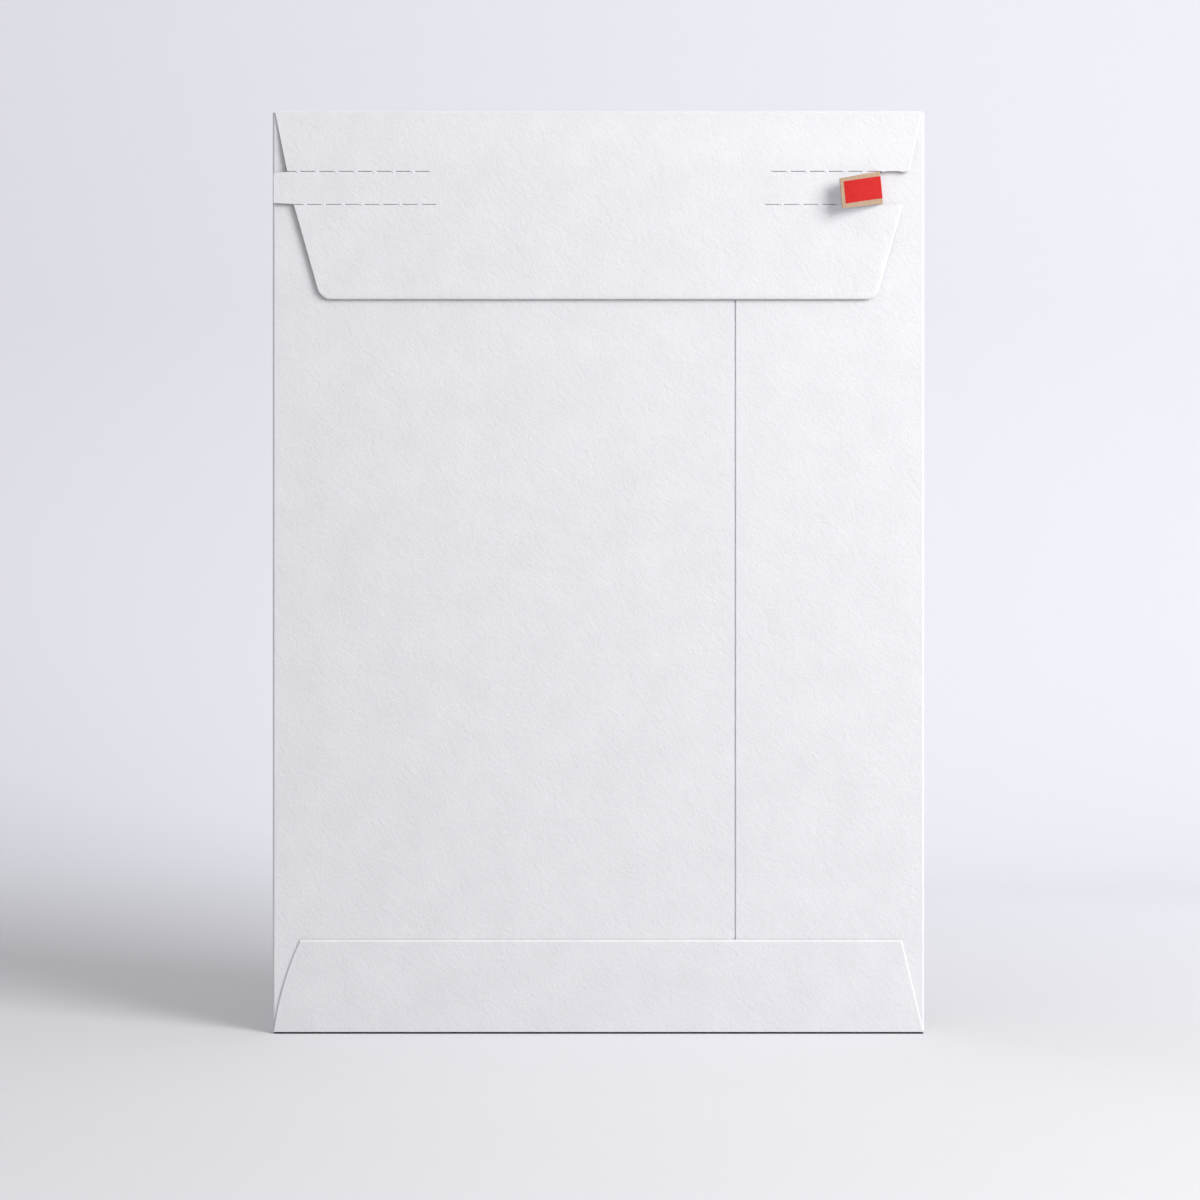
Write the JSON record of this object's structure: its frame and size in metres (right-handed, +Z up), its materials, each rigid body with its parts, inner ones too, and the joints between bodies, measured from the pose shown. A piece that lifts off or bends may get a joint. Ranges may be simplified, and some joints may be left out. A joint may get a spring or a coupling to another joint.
{
  "type": "pocket envelope",
  "caption": "Solid board pocket envelope standing upright, with a hinged closure flap, a perforated tear strip, two pull tabs and a glued bottom flap.",
  "frame": {"origin": "middle of the flat underside of the bottom fold, which the envelope stands on", "axes": "+Z up the envelope towards the closure flap's crease, +X to the right as seen from the flap side, +Y from the flap side towards the rear panel"},
  "size_m": [0.229, 0.0138, 0.324],
  "materials": {
    "white_board": "matte, uncoated, lightly felted",
    "red_tape": "satin",
    "glue_line": "dried, translucent",
    "adhesive_film": "tacky, glossy",
    "liner_paper": "silicone-coated, satin"
  },
  "bodies": {
    "pocket": {"rear_panel": "white_board", "left_side_fold": "white_board", "right_side_fold": "white_board", "front_left_panel": "white_board", "seam_tongue": "white_board", "front_right_panel": "white_board", "side_seam_glue": "glue_line", "bottom_fold": "white_board", "bottom_flap": "white_board", "bottom_flap_glue": "glue_line"},
    "top_fold": {"top_fold": "white_board"},
    "closure_flap": {"closure_flap_upper": "white_board", "tear_strip": "white_board", "closure_flap_lower": "white_board", "tear_tape": "red_tape", "closure_adhesive": "adhesive_film", "release_liner": "liner_paper"},
    "left_tab": {"left_pull_tab": "white_board", "left_tab_tape": "red_tape"},
    "right_tab": {"right_pull_tab": "white_board", "right_tab_tape": "red_tape"}
  },
  "joints": [
    {"name": "top_fold_crease", "type": "hinge", "parent": "pocket", "child": "top_fold", "pos_m": [0, 0.0033, 0.324], "axis": [-1, 0, 0], "range_deg": [0, 90]},
    {"name": "closure_flap_crease", "type": "hinge", "parent": "top_fold", "child": "closure_flap", "pos_m": [0, -0.0043, 0.324], "axis": [-1, 0, 0], "range_deg": [0, 90]},
    {"name": "left_tab_crease", "type": "hinge", "parent": "closure_flap", "child": "left_tab", "pos_m": [-0.108, -0.0043, 0.2968], "axis": [-0.1895, 0, 0.9819], "range_deg": [0, 160]},
    {"name": "right_tab_crease", "type": "hinge", "parent": "closure_flap", "child": "right_tab", "pos_m": [0.0992, -0.0043, 0.2968], "axis": [-0.0958, 0, 0.9954], "range_deg": [-15, 159]}
  ]
}
